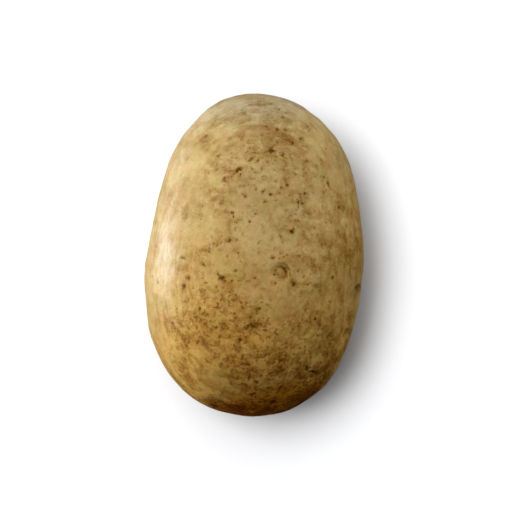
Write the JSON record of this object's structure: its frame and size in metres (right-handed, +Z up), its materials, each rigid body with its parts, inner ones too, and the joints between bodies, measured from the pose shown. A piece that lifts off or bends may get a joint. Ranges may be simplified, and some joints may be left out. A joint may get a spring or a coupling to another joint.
{
  "type": "potato",
  "caption": "Whole raw potato lying on its side: an oval, slightly lumpy tuber with shallow eyes, a stem scar and a small flat resting spot.",
  "frame": {"origin": "on the resting surface, under the middle of the potato's bounds", "axes": "+Y along the tuber from the rose end to the stem end, +Z up, +X to the right when seen from above with the stem end ahead"},
  "size_m": [0.068, 0.0998, 0.0576],
  "materials": {
    "potato": "matte"
  },
  "bodies": {
    "root": {"potato": "potato"}
  },
  "joints": []
}
